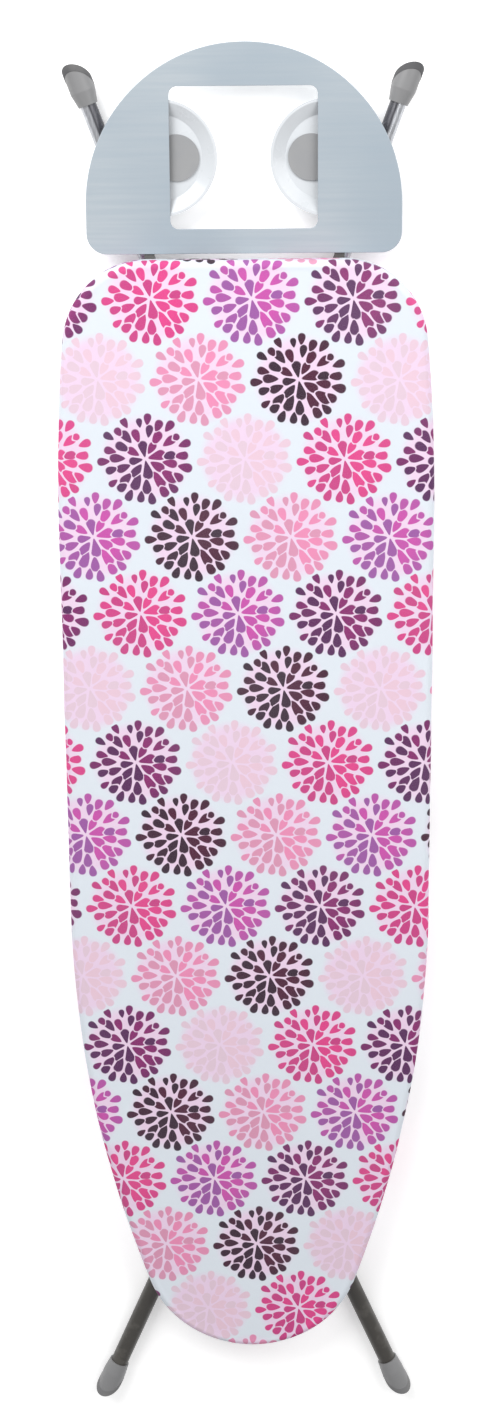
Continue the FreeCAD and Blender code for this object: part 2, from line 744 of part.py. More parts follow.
def leg_tube(leg, side, sign):
    """One bent tube: a straight run beside the middle, a bend, and a straight flare to the foot."""
    name = f"{leg}_tube_{side}"
    way = LEGS[leg]["way"]
    flare = "flare_" + leg[-1]
    radius, run = leg + "_radius", leg + "_flare_run"
    body = new_body(name)
    path = new_sketch(body, name + "_path", "XY_Plane")
    bend, angle = SIZES["bend_radius"], math.radians(20)
    far = (bend * (1 - math.cos(angle)), 700 + bend * math.sin(angle))
    path.addGeometry([
        line(0, 0, 0, 700),
        arc(bend, 700, bend, math.pi - angle, math.pi),
        line(*far, far[0] + 300 * math.sin(angle), far[1] + 300 * math.cos(angle)),
    ], False)
    relate(path, "Coincident", 0, 1, -1, 1)
    relate(path, "Vertical", 0)
    relate(path, "Tangent", 0, 2, 1, 2)
    relate(path, "Tangent", 1, 1, 2, 1)
    tangent = f"bend_radius * tan({flare} / 2)"
    total = "crossing_arm + foot_arm + tube_overrun"
    measure(path, "Radius", (1,), "bend_radius")
    measure(path, "DistanceY", (0, 1, 0, 2), f"{total} - {run} - {tangent}")
    flare_length = f"{run} / cos({flare}) - tube_end_gap - {tangent}"
    measure(path, "DistanceX", (2, 1, 2, 2), f"({flare_length}) * sin({flare})")
    measure(path, "DistanceY", (2, 1, 2, 2), f"({flare_length}) * cos({flare})")
    profile = new_sketch(body, name + "_section", "XZ_Plane")
    circle(profile, None, None, radius)
    circle(profile, None, None, f"{radius} - tube_wall")
    DOC.recompute()
    pipe = body.newObject("PartDesign::AdditivePipe", name + "_sweep")
    pipe.Profile = profile
    pipe.Spine = (path, ["Edge1", "Edge2", "Edge3"])
    DOC.recompute()
    hole = new_sketch(body, name + "_pin_hole", "YZ_Plane")
    circle(hole, "crossing_arm + tube_overrun", None, "pin_radius + fit")
    pocket_through(body, hole, name + "_pin_bore")
    start = at_station(f"{LEGS[leg]['start']} - {way} * tube_overrun")
    axis, turn = {(1, 1): (Z_AXIS, "0"), (1, -1): (Y_AXIS, "180"),
                  (-1, 1): (X_AXIS, "180"), (-1, -1): (Z_AXIS, "180")}[(way, sign)]
    node(name, place(body, f"{sign} * {leg}_half", start, "leg_level", axis=axis, turn=turn))


def along_flare(name, kind, leg, sign, back, **sizes):
    """A round solid along a leg's flare, starting a given way back from the middle of its sole."""
    way = LEGS[leg]["way"]
    flare = "flare_" + leg[-1]
    thing = DOC.addObject(kind, name)
    bind(thing, **sizes)
    place(thing, f"{sign} * (foot_{leg[-1]}_spread - ({back}) * sin({flare}))",
          at_station(f"{LEGS[leg]['foot']} - {way} * ({back}) * cos({flare})"), "leg_level",
          axis=V(-way, sign, 0), turn="90")
    thing.setExpression("Placement.Rotation.Axis.x", formula(f"{-way} * cos({flare})"))
    thing.setExpression("Placement.Rotation.Axis.y", formula(f"{sign} * sin({flare})"))
    return thing


def sole_slab(name, leg, sign, low, thickness):
    """A slanted slab, parallel to the floor that the open leg stands on, from low beyond the sole."""
    tilt = LEGS[leg]["tilt"]
    reach = "3 * sole_radius"
    return box(name, (f"2 * {reach}", thickness, f"2 * {reach}"),
               (f"{sign} * foot_{leg[-1]}_spread - {reach}",
                at_station(f"{LEGS[leg]['foot']} + ({low}) * cos({tilt}) + {reach} * sin({tilt})"),
                f"leg_level + ({low}) * sin({tilt}) - {reach} * cos({tilt})"),
               axis=X_AXIS, turn=tilt)


def leg_foot(leg, side, sign):
    """A plastic cap on the tube's end, cut to the floor's slope, and the rubber sole on it."""
    name = f"{leg}_foot_{side}"
    mouth = f"{leg}_radius + cap_wall"
    cone = along_flare(name + "_cone", "Part::Cone", leg, sign, "cap_length",
                       Radius1=mouth, Radius2="cap_radius", Height="cap_cone")
    barrel = along_flare(name + "_barrel", "Part::Cylinder", leg, sign, "cap_length - cap_cone",
                         Radius="cap_radius", Height="cap_length - cap_cone + 2 * sole_radius")
    beyond = sole_slab(name + "_trim", leg, sign, "-sole_thickness", "6 * sole_radius")
    bore = along_flare(name + "_bore", "Part::Cylinder", leg, sign, "cap_length + 1",
                       Radius=f"{leg}_radius + fit", Height="cap_length + 1 - tube_end_gap")
    solid = cut(name + "_solid", fuse(name + "_round", cone, barrel), beyond)
    node(name, cut(name, solid, bore))
    column = along_flare(f"{leg}_sole_{side}_column", "Part::Cylinder", leg, sign, "2 * sole_radius",
                         Radius="sole_radius", Height="4 * sole_radius")
    slab = sole_slab(f"{leg}_sole_{side}_slab", leg, sign, "-sole_thickness", "sole_thickness")
    sole = f"{leg}_sole_{side}"
    node(sole, common(sole, column, slab))


def leg_plug(leg, side, sign):
    """The plastic plug in the tube's pivot end: a flange outside and a stem in the bore."""
    name = f"{leg}_plug_{side}"
    way = LEGS[leg]["way"]
    end = f"{LEGS[leg]['start']} - {way} * tube_overrun"
    flange_start = f"{end} - plug_flange" if way > 0 else end
    stem_start = end if way > 0 else f"{end} - plug_stem"
    parts = []
    for label, radius, length, station in (
            ("flange", f"{leg}_radius", "plug_flange", flange_start),
            ("stem", f"{leg}_radius - tube_wall - fit", "plug_stem", stem_start)):
        piece = DOC.addObject("Part::Cylinder", f"{name}_{label}")
        bind(piece, Radius=radius, Height=length)
        parts.append(place(piece, f"{sign} * {leg}_half", at_station(station), "leg_level",
                           axis=X_AXIS, turn="-90"))
    node(name, fuse(name, *parts))


def leg_lug(leg, side, sign):
    """A plate welded to the tube's flank that carries the rod above the tube's centre line."""
    name = f"{leg}_lug_{side}"
    near = "lug_a_half" if leg == "leg_a" else "lug_b_half"
    hole = "pin_radius" if leg == "leg_a" else "slide_rod_radius"
    inner = near if sign > 0 else f"-({near}) - lug_thickness"
    outer = f"{inner} + lug_thickness"
    station = LEGS[leg]["start"]
    plate = box(name + "_plate", ("lug_thickness", "2 * lug_radius", "pivot_rise"),
                (inner, at_station(f"{station} - lug_radius"), "leg_level"))
    head = rod(name + "_head", "lug_radius", inner, outer, at_station(station), "pivot_level")
    bore = rod(name + "_bore", f"{hole} + fit", f"{inner} - 1", f"{outer} + 1", at_station(station),
               "pivot_level")
    node(name, cut(name, fuse(name + "_blank", plate, head), bore))


def leg_tie(leg):
    """A round bar across the fork of the leg, coped to fit between its two tubes."""
    name = leg + "_tie"
    way = LEGS[leg]["way"]
    flare = "flare_" + leg[-1]
    back = f"({leg}_flare_run - {leg}_tie_gap)"
    half = f"{leg}_half + {leg}_tie_gap * tan({flare})"
    y = at_station(f"{LEGS[leg]['foot']} - {way} * {back}")
    bar = rod(name + "_bar", "tie_radius", f"-({half})", half, y, "leg_level")
    cores = []
    for side, sign in SIDES:
        cores.append(along_flare(f"{name}_core_{side}", "Part::Cylinder", leg, sign,
                                 f"{leg}_flare_run / cos({flare})",
                                 Radius=f"{leg}_radius + fit", Height=f"{leg}_flare_run"))
    node(name, cut(name, bar, fuse(name + "_cores", *cores)))


def cross_pin_set():
    """The pin through all four tubes where the legs cross, with its washers and end caps."""
    where = (at_station("crossing_station"), "leg_level")
    face = "leg_a_half + leg_a_radius + side_gap"
    reach = f"{face} + rod_cap"
    node("cross_pin", rod("cross_pin", "pin_radius", f"-({reach})", reach, *where))
    washers, caps = [], []
    for side, sign in SIDES:
        washers.append(sided_ring("cross_washer_" + side, "pin_radius + washer_rim", "pin_radius + fit",
                                  "leg_b_half + leg_b_radius + side_gap",
                                  "leg_a_half - leg_a_radius - side_gap", sign, *where))
        caps.append(sided_ring("cross_cap_" + side, "pin_radius + rod_cap_rim", "pin_radius + fit",
                               face, reach, sign, *where))
    node("cross_washers", group("cross_washers", washers))
    node("cross_pin_caps", group("cross_pin_caps", caps))


def slide_rod_set():
    """The slide rod at leg B's top, its sleeves, washers and end caps."""
    where = (at_station("slide_station"), "pivot_level")
    outside = "slide_washer_half + washer_thickness + side_gap"
    starts = {-1: outside, 1: "hub_end + side_gap"}
    node("slide_rod", rod("slide_rod", "slide_rod_radius", f"-({starts[-1]} + rod_cap)",
                          f"{starts[1]} + rod_cap", *where))
    washers, caps = [], []
    bore = "slide_rod_radius + fit"
    for side, sign in SIDES:
        sleeve = "slide_sleeve_" + side
        node(sleeve, sided_ring(sleeve, "sleeve_radius", bore, "leg_b_half + leg_b_radius + side_gap",
                                "rail_half - side_gap", sign, *where))
        washers.append(sided_ring("slide_washer_" + side, "slide_rod_radius + washer_rim", bore,
                                  "slide_washer_half", "slide_washer_half + washer_thickness", sign,
                                  *where))
        caps.append(sided_ring("slide_cap_" + side, "slide_rod_radius + rod_cap_rim", bore,
                               starts[sign], f"{starts[sign]} + rod_cap", sign, *where))
    node("slide_washers", group("slide_washers", washers))
    node("slide_rod_caps", group("slide_rod_caps", caps))


# ---- the release lever ------------------------------------------------------------------------

def release_lever():
    """The lever on the slide rod: a hub with a cam, a crank plate and the bar under the grip."""
    y, z = at_station("slide_station"), "pivot_level"
    handle_y = f"{y} - crank_radius"
    hub = rod("lever_hub", "hub_radius", "hub_start", "hub_end", y, z)
    cam = rod("lever_cam", "cam_radius", "hub_start", "hub_start + cam_width", y, f"{z} + cam_rise")
    plate_start = "hub_end - crank_thickness"
    plate = box("lever_plate", ("crank_thickness", "crank_radius", "2 * crank_end_radius"),
                (plate_start, handle_y, f"{z} - crank_end_radius"))
    knuckle = rod("lever_knuckle", "crank_end_radius", plate_start, "hub_end", handle_y, z)
    bar = rod("lever_bar", "handle_radius", plate_start, "grip_end - grip_end_wall - side_gap",
              handle_y, z)
    bore = rod("lever_bore", "slide_rod_radius + fit", "hub_start - 1", "hub_end + 1", y, z)
    solid = fuse("lever_solid", hub, cam, plate, knuckle, bar)
    node("release_lever", cut("release_lever", solid, bore))
    grip = rod("grip_outer", "grip_radius", "grip_start", "grip_end", handle_y, z)
    hollow = rod("grip_hollow", "handle_radius + fit", "grip_start - 1", "grip_end - grip_end_wall",
                 handle_y, z)
    node("lever_grip", cut("lever_grip", grip, hollow))


def lever_spring():
    """The torsion spring that turns the lever back, coiled on the slide rod beside the hub."""
    helix = DOC.addObject("Part::Helix", "spring_helix")
    bind(helix, Pitch="spring_pitch", Height="spring_length", Radius="spring_radius")
    wire = DOC.addObject("Part::Circle", "spring_wire")
    bind(wire, Radius="spring_wire_radius")
    place(wire, x="spring_radius", axis=X_AXIS, turn="90")
    spring = DOC.addObject("Part::Sweep", "lever_spring")
    spring.Sections = [wire]
    spring.Spine = (helix, ["Edge1"])
    spring.Solid = True
    spring.Frenet = True
    place(spring, "spring_start", at_station("slide_station"), "pivot_level", axis=Y_AXIS, turn="90")
    node("lever_spring", spring)


def build():
    fill_sheet()
    top_panel()
    rim_frame()
    pad_layer()
    cover()
    channel("nose_channel", "nose_channel_station", "nose_channel_half", "channel_depth")
    channel("middle_channel", "middle_channel_station", "middle_channel_half", "channel_depth")
    channel("rest_channel", "rest_channel_station", "rest_channel_half", "rest_channel_depth",
            holes=rest_arms())
    iron_rest()
    rest_dishes()
    pivot_rod_set()
    cross_pin_set()
    slide_rod_set()
    release_lever()
    lever_spring()
    for side, sign in SIDES:
        rail(side, sign)
        pivot_bracket(side, sign)
        for leg in LEGS:
            leg_tube(leg, side, sign)
            leg_foot(leg, side, sign)
            leg_plug(leg, side, sign)
            leg_lug(leg, side, sign)
    for leg in LEGS:
        leg_tie(leg)
    DOC.recompute()


def check():
    """Stop if any object failed or any sub-part is empty or invalid."""
    for thing in DOC.Objects:
        bad = [state for state in thing.State if state in ("Invalid", "Error")]
        if bad:
            raise RuntimeError(f"{thing.Name} ({thing.Label}) is {bad}")
    for part in NODES:
        shape = part.Shape
        if shape.isNull() or not shape.isValid() or not shape.Solids:
            raise RuntimeError(f"{part.Label} has no valid solid")


def export():
    os.makedirs("parts", exist_ok=True)
    for part in NODES:
        part.Shape.exportStep(f"parts/{part.Label}.step")
        bounds = part.Shape.BoundBox
        print(f"{part.Label}: {len(part.Shape.Solids)} solid(s), {part.Shape.Volume:.0f} mm3,"
              f" x {bounds.XMin:.1f} {bounds.XMax:.1f} y {bounds.YMin:.1f} {bounds.YMax:.1f}"
              f" z {bounds.ZMin:.1f} {bounds.ZMax:.1f}")


build()
check()
export()
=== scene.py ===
"""Ironing board: cloth, mesh top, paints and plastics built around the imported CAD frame."""

import json
import math

import bmesh
import bpy
from mathutils import Euler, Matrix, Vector, noise
from mathutils.geometry import delaunay_2d_cdt


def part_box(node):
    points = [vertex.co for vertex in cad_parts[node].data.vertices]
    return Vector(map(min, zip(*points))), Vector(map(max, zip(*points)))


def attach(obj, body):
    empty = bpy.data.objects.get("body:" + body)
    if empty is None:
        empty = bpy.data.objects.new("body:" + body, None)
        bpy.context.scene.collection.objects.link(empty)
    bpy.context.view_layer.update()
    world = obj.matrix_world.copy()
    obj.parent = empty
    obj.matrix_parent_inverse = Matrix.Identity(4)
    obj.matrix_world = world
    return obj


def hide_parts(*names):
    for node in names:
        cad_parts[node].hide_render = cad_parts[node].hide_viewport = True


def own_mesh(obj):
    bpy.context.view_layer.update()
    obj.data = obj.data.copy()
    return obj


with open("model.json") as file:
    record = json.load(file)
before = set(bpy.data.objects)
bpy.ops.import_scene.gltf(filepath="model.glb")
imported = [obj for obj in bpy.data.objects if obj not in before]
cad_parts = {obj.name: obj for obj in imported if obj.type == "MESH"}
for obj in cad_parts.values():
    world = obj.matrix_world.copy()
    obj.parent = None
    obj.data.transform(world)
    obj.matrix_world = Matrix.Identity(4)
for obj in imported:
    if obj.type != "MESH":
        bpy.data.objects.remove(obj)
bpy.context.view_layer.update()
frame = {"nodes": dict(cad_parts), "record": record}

# sizes of the board that the CAD cover repeats, in metres
SIDE_RADIUS = 1.300
SIDE_STATION = 0.520
TAPER_STATION = 0.940
TAPER_RADIUS = 1.850
CORNER_RADIUS = 0.085
HEM_WIDTH = 0.030

# cloth
CLOTH_THICKNESS = 0.0010
TOP_ROUND = 0.0085
UNDER_ROUND = 0.004
SAMPLE_STEP = 0.0036
FILL_INSET = 0.060
HEM_DROP = 0.0018
CASING_HALF_WIDTH = 0.0036
CASING_HALF_HEIGHT = 0.0019

# pad
PAD_FLAT = 0.030

# mesh top
HOLE_PITCH = 0.0160
HOLE_RADIUS = 0.0047
HOLE_SIDES = 8
HOLE_MARGIN = 0.022

# the studio's light on the board, as a multiple of the light that shows a surface in its own colour
LIGHT_LEVEL = 1.16

# camera: place behind the nose and above the floor, turn in radians, lens in millimetres
CAMERA_BEHIND_NOSE = 1.4013
CAMERA_HEIGHT = 2.3530
CAMERA_TURN = (-0.2793, -0.0030, -0.0075)
CAMERA_LENS = 58.69

# lights: place, point aimed at, side of the square, power in watts
KEY_LIGHT = ((-1.2, 2.1, 1.9), (0, 0.75, 0), 1.8, 66)
FILL_LIGHT = ((1.6, 1.3, 2.0), (0, 0.4, 0), 2.0, 38)
SKY_LEVEL = 0.52
FLOOR_REACH = 40


def srgb(red, green, blue, level=LIGHT_LEVEL):
    """The surface colour that shows as these 0 to 255 screen values under the studio's light."""
    linear = []
    for value in (red, green, blue):
        share = value / 255
        shown = share / 12.92 if share <= 0.04045 else ((share + 0.055) / 1.055) ** 2.4
        linear.append(shown / level)
    return (*linear, 1.0)


# ---------------------------------------------------------------- shader helpers

class Graph:
    """A material's node tree with short ways to add and join nodes."""

    def __init__(self, name):
        self.material = bpy.data.materials.new(name)
        self.material.use_nodes = True
        self.tree = self.material.node_tree
        self.shader = self.tree.nodes["Principled BSDF"]

    def node(self, kind, **settings):
        made = self.tree.nodes.new(kind)
        for key, value in settings.items():
            setattr(made, key, value)
        return made

    def feed(self, socket, value):
        """Joins an output to a socket, or sets the socket to a number or colour."""
        if isinstance(value, bpy.types.NodeSocket):
            self.tree.links.new(value, socket)
        else:
            socket.default_value = value

    def math(self, operation, *values):
        made = self.node("ShaderNodeMath", operation=operation)
        for socket, value in zip(made.inputs, values):
            self.feed(socket, value)
        return made.outputs[0]

    def vector(self, x, y, z=0.0):
        made = self.node("ShaderNodeCombineXYZ")
        for socket, value in zip(made.inputs, (x, y, z)):
            self.feed(socket, value)
        return made.outputs[0]

    def split(self, vector):
        made = self.node("ShaderNodeSeparateXYZ")
        self.feed(made.inputs[0], vector)
        return made.outputs

    def mix(self, share, low, high):
        """Mixes two colours."""
        made = self.node("ShaderNodeMix", data_type="RGBA", blend_type="MIX")
        self.feed(made.inputs[0], share)
        self.feed(made.inputs[6], low)
        self.feed(made.inputs[7], high)
        return made.outputs[2]

    def fade(self, value, start, end, low=0.0, high=1.0):
        """Maps a value from start..end to low..high, held at both ends."""
        made = self.node("ShaderNodeMapRange", clamp=True)
        made.interpolation_type = "SMOOTHSTEP"
        for socket, number in zip(made.inputs, (value, start, end, low, high)):
            self.feed(socket, number)
        return made.outputs[0]

    def noise(self, scale, detail=2.0, where=None, rough=0.5):
        made = self.node("ShaderNodeTexNoise")
        made.inputs["Scale"].default_value = scale
        made.inputs["Detail"].default_value = detail
        made.inputs["Roughness"].default_value = rough
        self.feed(made.inputs["Vector"], self.place() if where is None else where)
        return made.outputs["Fac"]

    def place(self):
        """The point's own place on the part, in metres."""
        return self.node("ShaderNodeTexCoord").outputs["Object"]

    def steps(self, value, colours):
        """One of several colours, by a whole number from 0."""
        made = self.node("ShaderNodeValToRGB")
        made.color_ramp.interpolation = "CONSTANT"
        spread = made.color_ramp.elements
        spread.remove(spread[1])
        spread[0].color = colours[0]
        for number, colour in enumerate(colours[1:], 1):
            spread.new((number - 0.5) / len(colours)).color = colour
        self.feed(made.inputs[0], self.math("DIVIDE", value, float(len(colours))))
        return made.outputs[0]

    def bump(self, height, distance, strength=1.0, under=None):
        made = self.node("ShaderNodeBump")
        made.inputs["Distance"].default_value = distance
        made.inputs["Strength"].default_value = strength
        self.feed(made.inputs["Height"], height)
        if under is not None:
            self.feed(made.inputs["Normal"], under)
        return made.outputs[0]

    def finish(self, **sockets):
        for name, value in sockets.items():
            self.feed(self.shader.inputs[name.replace("_", " ")], value)
        return self.material


def edge_wear(graph, amount=0.5):
    """Patchy rubbing along raised edges."""
    pointed = graph.node("ShaderNodeNewGeometry").outputs["Pointiness"]
    raised = graph.fade(pointed, 0.52, 0.60)
    patches = graph.fade(graph.noise(60, 4), 0.48, 0.62)
    return graph.math("MULTIPLY", graph.math("MULTIPLY", raised, patches), amount)


# ---------------------------------------------------------------- print on the cloth

ROW_STEP = 0.0795
COLUMN_STEP = 0.0998
ROW_SLANT = -0.0040
COLUMN_SLANT = -0.0008
FIRST_FLOWER = (-0.0430, 1.1634)

CLOTH_GROUND = srgb(228, 235, 243)
FLOWER_HAZE = srgb(244, 208, 236)
HOT_PINK = (srgb(230, 66, 140), srgb(204, 62, 132))
ORCHID = (srgb(206, 80, 172), srgb(158, 88, 164))
PURPLE = (srgb(140, 30, 108), srgb(88, 34, 88))
MAROON = (srgb(80, 14, 50), srgb(52, 22, 44))
PINK = (srgb(240, 142, 184), srgb(222, 152, 182))
BLUSH = (srgb(238, 203, 219), srgb(231, 204, 219))
FLOWER_ORDER = (
    HOT_PINK, ORCHID, PURPLE,
    PINK, MAROON, BLUSH,
    PURPLE, BLUSH, HOT_PINK,
    MAROON, PINK, ORCHID,
)
# petals in one ring: count, radius, stagger in and out, length, width, turn
PETAL_RINGS = (
    (8, 0.0124, 0.0014, 0.0156, 0.0106, 0.20),
    (15, 0.0266, 0.0024, 0.0148, 0.0098, 0.05),
    (22, 0.0392, 0.0022, 0.0122, 0.0090, 0.35),
)


def lattice(graph, across, along):
    """Place in the print's skewed lattice, in columns and rows."""
    area = COLUMN_STEP * ROW_STEP + ROW_SLANT * COLUMN_SLANT
    shifted = graph.vector(
        graph.math("SUBTRACT", across, FIRST_FLOWER[0]),
        graph.math("SUBTRACT", along, FIRST_FLOWER[1]),
    )
    places = []
    for x_share, y_share in ((ROW_STEP / area, ROW_SLANT / area),
                             (COLUMN_SLANT / area, -COLUMN_STEP / area)):
        made = graph.node("ShaderNodeVectorMath", operation="DOT_PRODUCT")
        graph.feed(made.inputs[0], shifted)
        made.inputs[1].default_value = (x_share, y_share, 0)
        places.append(made.outputs["Value"])
    return places


def from_flower(graph, column, row, near_column, near_row):
    """Offset in metres from a flower's centre."""
    column_part = graph.math("SUBTRACT", column, near_column)
    row_part = graph.math("SUBTRACT", row, near_row)
    x = graph.math("MULTIPLY_ADD", column_part, COLUMN_STEP, graph.math("MULTIPLY", row_part, ROW_SLANT))
    y = graph.math("MULTIPLY_ADD", column_part, COLUMN_SLANT, graph.math("MULTIPLY", row_part, -ROW_STEP))
    return x, y


def nearest_flower(graph, column, row):
    """Offset from the nearer of the two staggered rows' flowers, and that flower's kind."""
    even_row = graph.math("MULTIPLY", graph.math("ROUND", graph.math("MULTIPLY", row, 0.5)), 2.0)
    even_column = graph.math("ADD", graph.math("FLOOR", column), 0.5)
    half_row = graph.math("MULTIPLY_ADD", row, 0.5, -0.5)
    odd_row = graph.math("MULTIPLY_ADD", graph.math("ROUND", half_row), 2.0, 1.0)
    odd_column = graph.math("ROUND", column)
    even = from_flower(graph, column, row, even_column, even_row)
    odd = from_flower(graph, column, row, odd_column, odd_row)
    spans = []
    for x, y in (even, odd):
        spans.append(graph.math("MULTIPLY_ADD", x, x, graph.math("MULTIPLY", y, y)))
    use_odd = graph.math("LESS_THAN", spans[1], spans[0])
    x = choose(graph, use_odd, even[0], odd[0])
    y = choose(graph, use_odd, even[1], odd[1])
    in_row = choose(graph, use_odd, graph.math("ADD", even_column, 0.5), odd_column)
    which_row = choose(graph, use_odd, even_row, odd_row)
    third = graph.math("WRAP", in_row, 3.0, 0.0)
    quarter = graph.math("WRAP", which_row, 4.0, 0.0)
    return x, y, graph.math("MULTIPLY_ADD", quarter, 3.0, third)


def choose(graph, share, low, high):
    """Mixes two numbers."""
    made = graph.node("ShaderNodeMix", data_type="FLOAT")
    graph.feed(made.inputs[0], share)
    graph.feed(made.inputs[2], low)
    graph.feed(made.inputs[3], high)
    return made.outputs[0]


def petal_ring(graph, reach, turn, ring, seed):
    """How far out of the nearest petal of one ring a point is, 1 at its edge, and that petal's own tone."""
    count, radius, stagger, length, width, phase = ring
    place = graph.math("MULTIPLY_ADD", turn, count / math.tau, phase)
    number = graph.math("WRAP", graph.math("FLOOR", place), float(count), 0.0)
    chance = graph.node("ShaderNodeTexWhiteNoise", noise_dimensions="2D")
    graph.feed(chance.inputs["Vector"], graph.vector(number, seed))
    swing, shift, growth = graph.split(chance.outputs["Color"])
    within = graph.math("SUBTRACT", graph.math("FRACT", place), 0.5)
    within = graph.math("ADD", within, graph.math("MULTIPLY_ADD", swing, 0.30, -0.15))
    angle = graph.math("MULTIPLY", within, math.tau / count)
    heading = graph.math("MULTIPLY_ADD", number, math.tau / count, (0.5 - phase) * math.tau / count + 0.75)
    lean = graph.math("MULTIPLY", graph.math("COSINE", heading), 0.12)
    size = graph.math("ADD", graph.math("MULTIPLY_ADD", growth, 0.30, 0.86), lean)
    outer = graph.math("MULTIPLY_ADD", graph.math("WRAP", number, 2.0, 0.0), 2 * stagger, radius - stagger)
    middle = graph.math("MULTIPLY_ADD", shift, 0.0030, graph.math("SUBTRACT", outer, 0.0015))
    along = graph.math("SUBTRACT", graph.math("MULTIPLY", reach, graph.math("COSINE", angle)), middle)
    along = graph.math("DIVIDE", along, graph.math("MULTIPLY", size, length / 2))
    taper = graph.math("MAXIMUM", graph.math("MULTIPLY_ADD", along, 0.36, 0.80), 0.25)
    half = graph.math("MULTIPLY", graph.math("MULTIPLY", size, width / 2), taper)
    side = graph.math("DIVIDE", graph.math("MULTIPLY", reach, graph.math("SINE", angle)), half)
    crowded = graph.fade(graph.math("ABSOLUTE", within), 0.40, 0.50, 0.0, 0.8)
    spread = graph.math("MULTIPLY_ADD", along, along, graph.math("MULTIPLY", side, side))
    return graph.math("ADD", spread, crowded), swing


def petals(graph, reach, turn):
    """How much of the point is petal, with a gap where two petals meet, and the petal's own tone."""
    found = [petal_ring(graph, reach, turn, ring, float(seed + 3)) for seed, ring in enumerate(PETAL_RINGS)]
    inner, middle, outer = (span for span, _ in found)
    least = graph.math("MINIMUM", inner, middle)
    next_least = graph.math("MAXIMUM", inner, middle)
    next_least = graph.math("MAXIMUM", least, graph.math("MINIMUM", next_least, outer))
    least = graph.math("MINIMUM", least, outer)
    apart = graph.fade(graph.math("SUBTRACT", next_least, least), 0.12, 0.44)
    covered = graph.math("MULTIPLY", graph.fade(least, 1.22, 0.84), apart)
    tone = 0.0
    for span, own in found:
        nearest = graph.math("LESS_THAN", span, graph.math("ADD", least, 0.0001))
        tone = graph.math("MULTIPLY_ADD", nearest, own, tone)
    return covered, tone


def flower_print(graph, cloth):
    """Colour of a cloth printed with staggered many-petalled flowers."""
    across, along, _ = graph.split(cloth)
    column, row = lattice(graph, across, along)
    x, y, kind = nearest_flower(graph, column, row)
    reach = graph.math("SQRT", graph.math("MULTIPLY_ADD", x, x, graph.math("MULTIPLY", y, y)))
    turn = graph.math("ARCTAN2", y, x)
    covered, tone = petals(graph, reach, turn)
    bright = graph.steps(kind, [pair[0] for pair in FLOWER_ORDER])
    deep = graph.steps(kind, [pair[1] for pair in FLOWER_ORDER])
    outward = graph.fade(reach, 0.022, 0.042, 0.0, 0.45)
    petal = graph.mix(graph.math("MAXIMUM", graph.fade(tone, 0.35, 0.75), outward), bright, deep)
    disc = graph.fade(reach, 0.048, 0.034, 0.0, 0.80)
    ground = graph.mix(disc, CLOTH_GROUND, FLOWER_HAZE)
    return graph.mix(graph.math("MULTIPLY", covered, 0.99), ground, petal)


def cloth_place(graph):
    """The point's place on the flat cut of the cloth, across and along the board."""
    return graph.node("ShaderNodeAttribute", attribute_name="cloth").outputs["Vector"]


def weave_height(graph, cloth, pitch):
    """Over and under of a plain weave."""
    across, along, _ = graph.split(cloth)
    warp = graph.math("SINE", graph.math("MULTIPLY", across, math.tau / pitch))
    weft = graph.math("SINE", graph.math("MULTIPLY", along, math.tau / pitch))
    slubs = graph.noise(700, 2, cloth)
    return graph.math("MULTIPLY_ADD", warp, weft, slubs)


def printed_cotton():
    graph = Graph("printed_cotton")
    cloth = cloth_place(graph)
    colour = flower_print(graph, cloth)
    soil = graph.fade(graph.noise(5, 3, cloth), 0.35, 0.75, 0.0, 0.05)
    colour = graph.mix(soil, colour, srgb(196, 204, 212))
    threads = graph.fade(graph.noise(900, 1, cloth), 0.2, 0.8, 0.0, 0.06)
    colour = graph.mix(threads, colour, srgb(205, 212, 220))
    weave = graph.bump(weave_height(graph, cloth, 0.0008), 0.00008, 0.6)
    creased = graph.bump(graph.noise(26, 3, cloth), 0.0012, 0.35, weave)
    rough = graph.fade(graph.noise(40, 2, cloth), 0.3, 0.7, 0.80, 0.92)
    return graph.finish(Base_Color=colour, Roughness=rough, Normal=creased, Sheen_Weight=0.04,
                        Sheen_Roughness=0.5, Specular_IOR_Level=0.15)


def plain_tape():
    graph = Graph("cotton_tape")
    ribs = graph.noise(420, 2)
    colour = graph.mix(graph.fade(ribs, 0.3, 0.7), srgb(214, 220, 227), srgb(236, 240, 245))
    fold = graph.bump(ribs, 0.0004, 0.6)
    rough = graph.fade(graph.noise(90, 2), 0.3, 0.7, 0.78, 0.92)
    return graph.finish(Base_Color=colour, Roughness=rough, Normal=fold, Sheen_Weight=0.2)


def felted_foam():
    graph = Graph("felted_foam")
    fibre = graph.noise(380, 6, rough=0.7)
    clumps = graph.fade(graph.noise(45, 3), 0.35, 0.7)
    colour = graph.mix(clumps, srgb(226, 221, 207), srgb(205, 199, 184))
    colour = graph.mix(graph.fade(fibre, 0.45, 0.75, 0.0, 0.35), colour, srgb(243, 240, 232))
    surface = graph.bump(fibre, 0.0006, 0.8)
    rough = graph.fade(fibre, 0.3, 0.7, 0.88, 1.0)
    return graph.finish(Base_Color=colour, Roughness=rough, Normal=surface, Sheen_Weight=0.3)


# ---------------------------------------------------------------- paints, metals, plastics

def paint(name, colour, worn, roughness=0.38):
    """Sprayed and baked paint: a faint orange peel, uneven gloss, rubbed edges."""
    graph = Graph(name)
    cloudy = graph.fade(graph.noise(9, 3), 0.3, 0.7)
    shade = graph.mix(graph.math("MULTIPLY", cloudy, 0.10), colour, worn)
    shade = graph.mix(edge_wear(graph, 0.4), shade, worn)
    peel = graph.bump(graph.noise(650, 2), 0.00006, 0.5)
    rough = graph.fade(graph.noise(35, 3), 0.3, 0.7, roughness - 0.05, roughness + 0.08)
    return graph.finish(Base_Color=shade, Roughness=rough, Normal=peel, Coat_Weight=0.15,
                        Coat_Roughness=0.25)


